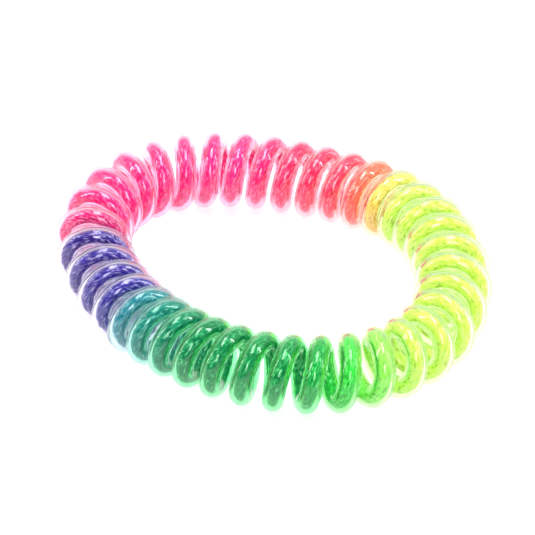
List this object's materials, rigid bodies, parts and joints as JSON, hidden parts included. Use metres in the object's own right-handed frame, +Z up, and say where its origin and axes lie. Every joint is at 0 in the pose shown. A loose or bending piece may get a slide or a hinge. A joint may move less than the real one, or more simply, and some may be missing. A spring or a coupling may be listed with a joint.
{
  "type": "coil ring",
  "caption": "Springy ring of clear tube with a rainbow yarn core, wound in coils and closed in an oval, for fingers, wrist or hair.",
  "frame": {"origin": "under the middle of the ring's outline, on the surface it lies on", "axes": "+Z up, out of the ring's flat side; +X along the ring's long axis, which is also the way it is pulled"},
  "size_m": [0.0598, 0.0502, 0.0098],
  "materials": {
    "clear_plastic": "clear glossy soft plastic",
    "yarn_green": "dyed yarn with a silky shine, sealed in the clear tube",
    "yarn_lime": "dyed yarn with a silky shine, sealed in the clear tube",
    "yarn_yellow": "dyed yarn with a silky shine, sealed in the clear tube",
    "yarn_orange": "dyed yarn with a silky shine, sealed in the clear tube",
    "yarn_coral": "dyed yarn with a silky shine, sealed in the clear tube",
    "yarn_pink": "dyed yarn with a silky shine, sealed in the clear tube",
    "yarn_violet": "dyed yarn with a silky shine, sealed in the clear tube",
    "yarn_teal": "dyed yarn with a silky shine, sealed in the clear tube"
  },
  "bodies": {
    "left_half": {"clear_tube_07": "clear_plastic", "clear_tube_08": "clear_plastic", "clear_tube_09": "clear_plastic", "clear_tube_10": "clear_plastic", "clear_tube_11": "clear_plastic", "clear_tube_12": "clear_plastic", "clear_tube_13": "clear_plastic", "core_coral": "yarn_coral", "core_orange": "yarn_orange", "core_pink": "yarn_pink", "core_teal": "yarn_teal", "core_violet": "yarn_violet", "weld_bead": "clear_plastic"},
    "right_half": {"clear_tube_01": "clear_plastic", "clear_tube_02": "clear_plastic", "clear_tube_03": "clear_plastic", "clear_tube_04": "clear_plastic", "clear_tube_05": "clear_plastic", "clear_tube_06": "clear_plastic", "core_green": "yarn_green", "core_lime": "yarn_lime", "core_yellow": "yarn_yellow"}
  },
  "joints": [
    {"name": "stretch", "type": "slide", "parent": "left_half", "child": "right_half", "axis": [1, 0, 0], "range_m": [0, 0.02], "stiffness_N_per_m": 60}
  ]
}
